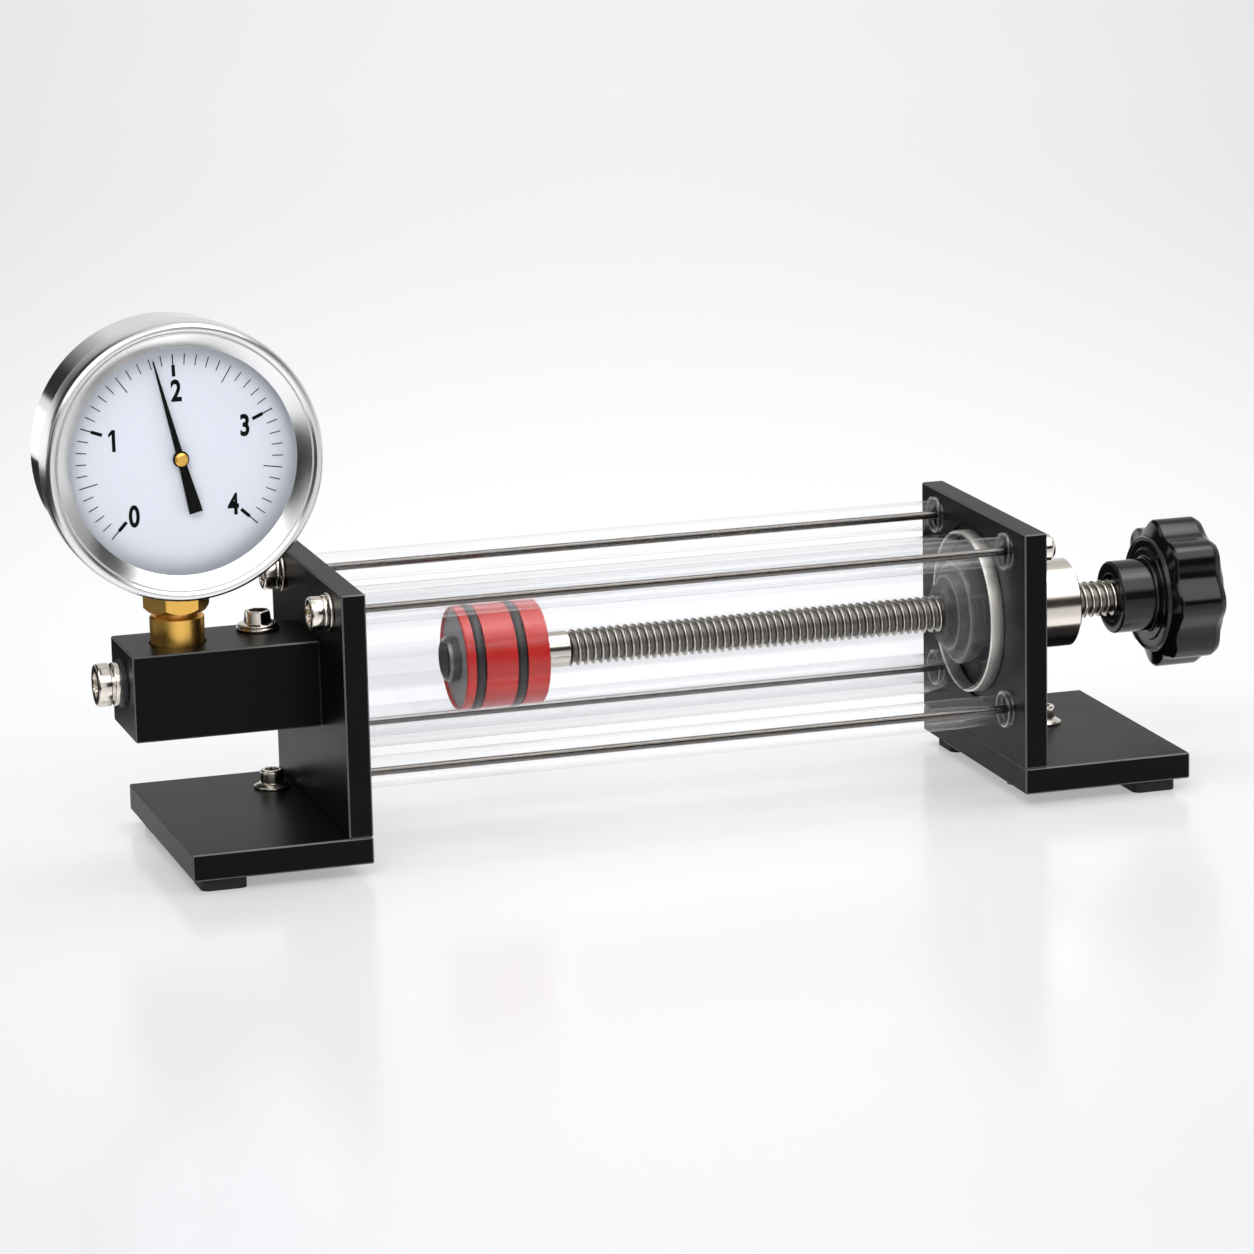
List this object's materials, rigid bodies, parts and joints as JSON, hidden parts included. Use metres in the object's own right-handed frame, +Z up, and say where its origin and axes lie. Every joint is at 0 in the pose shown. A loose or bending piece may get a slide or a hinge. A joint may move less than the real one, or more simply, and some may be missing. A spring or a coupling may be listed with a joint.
{
  "type": "boyle's law apparatus",
  "caption": "Clear gas cylinder between two black end plates, with a screw-driven red piston, a lobed knob and a round dial gauge on a manifold block.",
  "frame": {"origin": "on the ground, under the middle of the object's bounding box", "axes": "+X along the cylinder from the gauge to the knob, +Y to the back of the gauge, +Z up"},
  "size_m": [0.457, 0.108, 0.203],
  "materials": {
    "black_enamel": "satin black powder coat on aluminium",
    "foot_rubber": "matt black rubber",
    "nickel": "bright nickel plate, slightly warm",
    "zinc_steel": "zinc plated steel",
    "black_rubber": "satin black rubber",
    "clear_acrylic": "polished clear acrylic",
    "smoked_acrylic": "smoked clear acrylic, turned",
    "black_anodised": "black anodised, fine turned",
    "red_plastic": "glossy red acetal",
    "grey_plastic": "mid grey",
    "dark_grey_metal": "dark grey anodised",
    "screw_steel": "bright rolled trapezoidal thread",
    "knob_plastic": "glossy black phenolic",
    "brass": "machined brass, satin",
    "copper_seal": "flat copper ring",
    "polished_chrome": "polished stainless steel",
    "window_glass": "flat clear glass",
    "dial_white": "pale blue white enamel, matt",
    "spring_steel": "polished spring steel",
    "needle_black": "satin black"
  },
  "bodies": {
    "frame": {"left_upright": "black_enamel", "right_upright": "black_enamel", "left_base": "black_enamel", "right_base": "black_enamel", "feet": "foot_rubber", "upright_screws": "zinc_steel", "base_screws": "nickel", "manifold_block": "black_enamel", "block_screws": "zinc_steel", "end_plug": "nickel", "plug_seal": "black_rubber", "cylinder_tube": "clear_acrylic", "tube_rings": "nickel", "tube_gaskets": "black_rubber", "gas_end_cap": "black_anodised", "gas_cap_seal": "black_rubber", "guide_cap": "smoked_acrylic", "upper_tie_bolts": "nickel", "lower_tie_studs": "nickel", "tie_spring_washers": "nickel", "tie_flat_washers": "nickel", "cap_nuts": "nickel", "rod_sleeves": "clear_acrylic", "sleeve_rings": "clear_acrylic", "screw_nut": "nickel", "gauge_socket": "brass", "stem_seal": "copper_seal", "gauge_stem": "brass", "gauge_case": "polished_chrome", "case_screws": "zinc_steel", "gauge_bezel": "polished_chrome", "gauge_window": "window_glass", "window_gasket": "black_rubber", "gauge_dial": "dial_white", "dial_spacers": "brass", "movement_front_plate": "brass", "movement_back_plate": "brass", "movement_pillars": "brass", "movement_screws": "zinc_steel", "bourdon_tube": "brass", "tip_lug": "brass"},
    "piston": {"piston_body": "red_plastic", "piston_seals": "black_rubber", "piston_face_plate": "grey_plastic", "piston_boss": "dark_grey_metal", "swivel_gland": "nickel"},
    "screw": {"lead_screw": "screw_steel", "knob": "knob_plastic", "knob_insert": "zinc_steel", "knob_grub_screw": "zinc_steel"},
    "pointer": {"needle": "needle_black", "needle_hub": "brass", "pinion_arbor": "spring_steel", "hairspring": "spring_steel"},
    "sector": {"sector_gear": "brass"},
    "link": {"link_rod": "brass"},
    "bleed_ring": {"bleed_washer": "nickel"},
    "bleed": {"bleed_screw": "nickel"}
  },
  "joints": [
    {"name": "piston_slide", "type": "slide", "parent": "frame", "child": "piston", "axis": [1, 0, 0], "range_m": [-0.0181, 0.1591]},
    {"name": "screw_turn", "type": "hinge", "parent": "piston", "child": "screw", "pos_m": [0.13273, 0, 0.065], "axis": [1, 0, 0], "range_deg": [-2160, 19080]},
    {"name": "sector_turn", "type": "hinge", "parent": "frame", "child": "sector", "pos_m": [-0.17777, -0.0092, 0.12525], "axis": [0, 1, 0], "range_deg": [-18.56, 15.18]},
    {"name": "pointer_turn", "type": "hinge", "parent": "frame", "child": "pointer", "pos_m": [-0.17777, -0.0092, 0.15225], "axis": [0, 1, 0], "range_deg": [-121.5, 148.5]},
    {"name": "link_turn", "type": "hinge", "parent": "sector", "child": "link", "pos_m": [-0.16596, -0.0075, 0.12317], "axis": [0, 1, 0], "range_deg": [-16, 19]},
    {"name": "bleed_rise", "type": "slide", "parent": "frame", "child": "bleed_ring", "axis": [0, 0, 1], "range_m": [0, 0.0021]},
    {"name": "bleed_turn", "type": "hinge", "parent": "bleed_ring", "child": "bleed", "pos_m": [-0.14577, 0.0085, 0.081], "axis": [0, 0, 1], "range_deg": [0, 720]}
  ],
  "couplings": [
    {"joint": "piston_slide", "follows": "screw_turn", "m_per_rad": 0.00047746},
    {"joint": "pointer_turn", "follows": "sector_turn", "ratio": -8},
    {"joint": "link_turn", "follows": "sector_turn", "ratio": -1},
    {"joint": "bleed_rise", "follows": "bleed_turn", "m_per_rad": 0.00015915}
  ]
}
